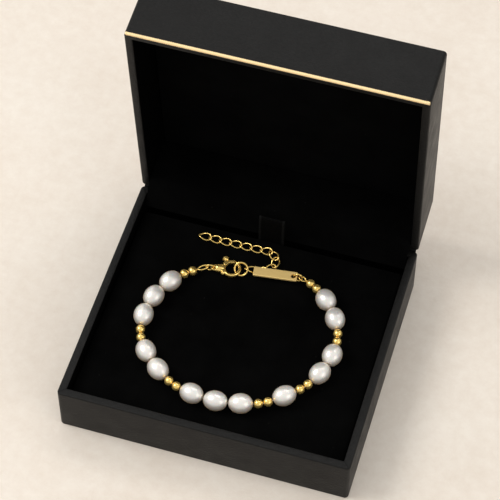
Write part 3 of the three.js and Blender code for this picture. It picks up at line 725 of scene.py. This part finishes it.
place_tree, entry, leave, place_inputs = new_tree("pieces_at_places", [
    ("Piece", "NodeSocketObject"), ("Seed", "NodeSocketInt"), ("Finish", "NodeSocketMaterial")])
source = add(place_tree, "GeometryNodeObjectInfo", {"Object": entry.outputs["Piece"]})
turn = add(place_tree, "GeometryNodeInputNamedAttribute", {"Name": "turn"}, data_type="FLOAT_VECTOR")
rotation = add(place_tree, "FunctionNodeEulerToRotation", {0: turn.outputs["Attribute"]})
copies = add(place_tree, "GeometryNodeInstanceOnPoints", {
    "Points": entry.outputs["Geometry"], "Instance": source.outputs["Geometry"],
    "Rotation": rotation.outputs[0]})
chance = add(place_tree, "FunctionNodeRandomValue", {"Seed": entry.outputs["Seed"]}, data_type="FLOAT")
stored = add(place_tree, "GeometryNodeStoreNamedAttribute", {
    "Geometry": copies.outputs["Instances"], "Name": "tint", "Value": chance.outputs[1]},
    data_type="FLOAT", domain="INSTANCE")
real = add(place_tree, "GeometryNodeRealizeInstances", {"Geometry": stored.outputs["Geometry"]})
finished = add(place_tree, "GeometryNodeSetMaterial", {
    "Geometry": real.outputs["Geometry"], "Material": entry.outputs["Finish"]})
place_tree.links.new(finished.outputs["Geometry"], leave.inputs["Geometry"])


def at_places(name, mesh, places, seed, finish):
    """Copies of a mesh at places, each a point and an Euler turn, as one plain piece."""
    points = bpy.data.meshes.new(name + "_places")
    points.from_pydata([tuple(p) for p, _ in places], [], [])
    attribute = points.attributes.new("turn", "FLOAT_VECTOR", "POINT")
    attribute.data.foreach_set("vector", [v for _, t in places for v in t])
    single = bpy.data.objects.new(name + "_one", mesh)
    bpy.context.scene.collection.objects.link(single)
    piece = grown(name, points, place_tree, place_inputs, {"Piece": single, "Seed": seed, "Finish": finish})
    bpy.data.objects.remove(single)
    return piece


print("place tree nodes", len(place_tree.nodes))


# %% Where the beads lie
def centre_of(node):
    low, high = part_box(node)
    return np.array((low + high) / 2)


def long_axis(node):
    points = np.array([v.co for v in nodes[node].data.vertices])
    points = points - points.mean(0)
    return np.linalg.svd(points, full_matrices=False)[2][0]


def towards(direction):
    """The Euler turn that points Z along a direction."""
    return tuple(Vector(direction).to_track_quat("Z", "Y").to_euler())


pearl_names = [f"pearl_{k:02d}" for k in range(1, 14)]
gold_names = [f"gold_bead_{k:02d}" for k in range(1, 15)]
string_order = "g g P P P g g P P g g P P P g g P g g P P g g P P g g".split()
left = {"P": iter(pearl_names), "g": iter(gold_names)}
string_names = [next(left[kind]) for kind in string_order]
middles = {name: centre_of(name) for name in string_names}


def bead_direction(name):
    if name in pearl_names:
        return long_axis(name)
    k = string_names.index(name)
    return middles[string_names[min(k + 1, 26)]] - middles[string_names[max(k - 1, 0)]]


print("string of", len(string_names), "beads")

# %% Pearls and gold beads
pearls = at_places(
    "pearls", drilled_bead("one_pearl", 7.7 * MM, 6.4 * MM, 1.1 * MM, 48, 28),
    [(middles[n], towards(bead_direction(n))) for n in pearl_names], 3, pearl)
# The lift attribute drives the pearls' painted underside shade.
slope = np.zeros(3 * len(pearls.data.vertices))
pearls.data.vertices.foreach_get("normal", slope)
lift = pearls.data.attributes.new("lift", "FLOAT", "POINT")
lift.data.foreach_set("value", slope[2::3])
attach(pearls, "case")
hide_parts(*pearl_names)

bead_length = math.sqrt(3.0 ** 2 - 1.1 ** 2) * MM
gold_beads = at_places(
    "gold_beads", drilled_bead("one_gold_bead", bead_length, 3.0 * MM, 1.1 * MM, 36, 20),
    [(middles[n], towards(bead_direction(n))) for n in gold_names], 5, gold)
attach(gold_beads, "case")
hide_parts(*gold_names)
print("pearls", len(pearls.data.polygons), "gold beads", len(gold_beads.data.polygons), "faces")

# %% [markdown]
# The thread is silk, and shows only in the narrow gaps between the beads. One round curve goes through
# every hole, from one end bead to the other, and a fine noise roughens it.

# %% Thread
silk, tree, shader = surface("silk_thread", Base_Color=(0.72, 0.62, 0.5, 1), Roughness=0.6, Sheen_Weight=0.3)
place = add(tree, "ShaderNodeTexCoord").outputs["Object"]
bumped(tree, shader, noise(tree, place, 0.12 * MM, 2.0), 0.02 * MM, 0.6)
thread_points = []
for k, name in enumerate(string_names):
    along = Vector(bead_direction(name)).normalized()
    if k and along.dot(Vector(middles[name] - middles[string_names[k - 1]])) < 0:
        along = -along
    if k == 0 and along.dot(Vector(middles[string_names[1]] - middles[name])) < 0:
        along = -along
    half = (3.5 if name in pearl_names else 1.2) * MM
    if k == 0:
        half = 0.0
    middle = Vector(middles[name])
    if k:
        thread_points.append(middle - along * (half if k < 26 else 1.2 * MM))
    thread_points.append(middle + along * (half if 0 < k < 26 else (1.2 * MM if k == 0 else 0)))
curve_data = bpy.data.curves.new("thread_curve", "CURVE")
curve_data.dimensions = "3D"
curve_data.bevel_depth = 0.2 * MM
curve_data.bevel_resolution = 3
curve_data.use_fill_caps = True
spline = curve_data.splines.new("POLY")
spline.points.add(len(thread_points) - 1)
for point, co in zip(spline.points, thread_points):
    point.co = (*co, 1)
curve = bpy.data.objects.new("thread_curve", curve_data)
bpy.context.scene.collection.objects.link(curve)
thread_mesh = bpy.data.meshes.new_from_object(curve.evaluated_get(bpy.context.evaluated_depsgraph_get()))
bpy.data.objects.remove(curve)
thread = bpy.data.objects.new("silk_thread", thread_mesh)
bpy.context.scene.collection.objects.link(thread)
thread.data.materials.clear()
thread.data.materials.append(silk)
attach(thread, "case")
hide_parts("thread")
print("thread", len(thread.data.polygons), "faces")


# %% [markdown]
# The extender is a curb chain: oval links, each twisted so that its two ends lie flat over the next one's.
# One link is bent from round wire along an oval, and each half is turned about the link's length. A copy
# goes where each solid lies: its middle is the solid's middle, and its three axes are the directions in
# which the solid's points spread. A link looks the same after half a turn about any of them, so it doesn't
# matter which way they point.

# %% One curb link
def wire_loop(name, length, width, wire, twist, around=40, sides=10):
    """A closed oval of round wire whose two ends are turned about its length."""
    vertices, faces = [], []
    a, b = (length - wire) / 2, (width - wire) / 2
    for step in range(around):
        turn = 2 * math.pi * step / around
        centre = Vector((a * math.cos(turn), b * math.sin(turn), 0))
        outward = Vector((b * math.cos(turn), a * math.sin(turn), 0)).normalized()
        twisted = Matrix.Rotation(math.radians(twist * math.cos(turn)), 3, "X")
        for side in range(sides):
            lean = 2 * math.pi * side / sides
            vertices.append(twisted @ (centre + outward * wire / 2 * math.cos(lean)
                                       + Vector((0, 0, wire / 2 * math.sin(lean)))))
    for step in range(around):
        for side in range(sides):
            p, q = step * sides, (step + 1) % around * sides
            faces.append([p + side, q + side, q + (side + 1) % sides, p + (side + 1) % sides])
    mesh = bpy.data.meshes.new(name)
    mesh.from_pydata([tuple(v) for v in vertices], [], faces)
    mesh.polygons.foreach_set("use_smooth", [True] * len(mesh.polygons))
    return mesh


link_names = [f"extender_link_{k:02d}" for k in range(1, 13)]


def link_place(name):
    """A link's middle and its turn, from the solid's points."""
    points = np.unique([tuple(v.co) for v in nodes[name].data.vertices], axis=0)
    middle = points.mean(axis=0)
    axes = np.linalg.svd(points - middle, full_matrices=False)[2]
    axes[2] = np.cross(axes[0], axes[1])
    return tuple(middle), tuple(Matrix(axes.T.tolist()).to_euler())


chain = at_places(
    "extender_chain", wire_loop("one_link", 4.6 * MM, 3.0 * MM, 0.45 * MM, 34),
    [link_place(name) for name in link_names], 7, gold)
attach(chain, "case")
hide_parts(*link_names)
print("chain", len(chain.data.polygons), "faces")


# %% [markdown]
# The rings are bent wire too. Their solids already lie where they hang, so a finer copy is enough: the
# triangles are merged back to squares, subdivided until round, and pushed out by what the rounding took
# away.

# %% Rings
def finer_wire(name, node, wire, material):
    """A smooth copy of a ring's solid with its real wire thickness."""
    mesh = nodes[node].data.copy()
    bm = bmesh.new()
    bm.from_mesh(mesh)
    bmesh.ops.remove_doubles(bm, verts=bm.verts, dist=0.002 * MM)
    bmesh.ops.join_triangles(bm, faces=bm.faces, angle_face_threshold=1.2, angle_shape_threshold=1.2)
    bmesh.ops.recalc_face_normals(bm, faces=bm.faces)
    bm.to_mesh(mesh)
    bm.free()
    piece = bpy.data.objects.new(name, mesh)
    bpy.context.scene.collection.objects.link(piece)
    rounding = piece.modifiers.new("round", "SUBSURF")
    rounding.levels = rounding.render_levels = 2
    grow = piece.modifiers.new("grow", "DISPLACE")
    grow.mid_level = 0
    grow.strength = 0.23 * wire / 2
    graph = bpy.context.evaluated_depsgraph_get()
    result = bpy.data.meshes.new_from_object(piece.evaluated_get(graph))
    piece.modifiers.clear()
    piece.data = result
    result.materials.clear()
    result.materials.append(material)
    result.polygons.foreach_set("use_smooth", [True] * len(result.polygons))
    return piece


for node, wire in (("jump_ring", 0.5 * MM), ("catch_ring", 0.6 * MM), ("tag_ring", 0.5 * MM)):
    ring = finer_wire(node + "_wire", node, wire, gold)
    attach(ring, "case")
    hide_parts(node)
    print(node, len(ring.data.polygons), "faces")


# %% [markdown]
# The clasp and the end loops are cast, so they have no sharp edge anywhere. A copy of the solid is rebuilt
# on a fine grid, which joins everything into one skin, and then smoothed, which rounds every edge by about
# the same amount as tumbling does. The lever's knob is drawn larger than its solid. The scaling stops at a
# hard limit and its middle lies nearer the tip than the knob's own, so about sixty small faces fold over
# where the knob meets the bar.

# %% Cast pieces
def cast_copy(name, node, grid, passes, grow, material):
    """A softened copy of a solid: rebuilt on a grid, smoothed, and pushed out by what smoothing takes."""
    piece = bpy.data.objects.new(name, nodes[node].data.copy())
    bpy.context.scene.collection.objects.link(piece)
    bm = bmesh.new()
    bm.from_mesh(piece.data)
    bmesh.ops.remove_doubles(bm, verts=bm.verts, dist=0.002 * MM)
    bm.to_mesh(piece.data)
    bm.free()
    rebuild = piece.modifiers.new("rebuild", "REMESH")
    rebuild.mode = "VOXEL"
    rebuild.voxel_size = grid
    soften = piece.modifiers.new("soften", "SMOOTH")
    soften.factor = 0.5
    soften.iterations = passes
    swell = piece.modifiers.new("swell", "DISPLACE")
    swell.mid_level = 0
    swell.strength = grow
    graph = bpy.context.evaluated_depsgraph_get()
    result = bpy.data.meshes.new_from_object(piece.evaluated_get(graph))
    piece.modifiers.clear()
    piece.data = result
    result.materials.clear()
    result.materials.append(material)
    result.polygons.foreach_set("use_smooth", [True] * len(result.polygons))
    return piece


knob_search, knob_reach, knob_scale = 1.3 * MM, 1.15 * MM, 1.2
lever_points = [v.co for v in nodes["clasp_lever"].data.vertices]
knob_tip = max(lever_points, key=lambda p: p.y)
knob_points = [p for p in lever_points if (p - knob_tip).length < knob_search]
knob_middle = sum(knob_points, Vector()) / len(knob_points)
print("knob at", [round(v / MM, 2) for v in knob_middle])

for node, body in (
        ("clasp_body", "case"), ("clasp_lever", "lever"),
        ("end_loop_left", "case"), ("end_loop_right", "case")):
    cast = cast_copy(node + "_cast", node, 0.06 * MM, 5, 0.045 * MM, gold)
    if node == "clasp_lever":
        for vertex in cast.data.vertices:
            away = vertex.co - knob_middle
            if away.length < knob_reach:
                vertex.co = knob_middle + away * knob_scale
    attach(cast, body)
    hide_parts(node)
    print(node, len(cast.data.polygons), "faces")

# %% [markdown]
# The tag plate is stamped sheet, brushed along its length and left blank. Brushing is a noise stretched far
# along the plate, so the place is turned to the plate's heading first and then squeezed along it.

# %% Brushed gold
tag_heading = math.radians(7)
brushed_gold, tree, shader = surface("brushed_gold", Metallic=0.55, Base_Color=(1.0, 0.72, 0.28, 1))
place = add(tree, "ShaderNodeTexCoord").outputs["Object"]
turned = add(
    tree, "ShaderNodeMapping", {"Vector": place, "Rotation": (0, 0, -tag_heading)}, vector_type="POINT")
squeezed = add(
    tree, "ShaderNodeMapping", {"Vector": turned.outputs[0], "Scale": (0.04, 1, 1)}, vector_type="POINT")
strokes = noise(tree, squeezed.outputs[0], 0.09 * MM, 5.0, 0.7)
tree.links.new(ranged(tree, strokes, 0.3, 0.7, 0.42, 0.56), shader.inputs["Roughness"])
bumped(tree, shader, strokes, 0.02 * MM, 0.8)
print("brushed gold nodes", len(tree.nodes))

# %% Tag plate
plate = cast_copy("tag_blank", "tag_plate", 0.07 * MM, 3, 0.01 * MM, brushed_gold)
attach(plate, "case")
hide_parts("tag_plate")
print("tag plate", len(plate.data.polygons), "faces")
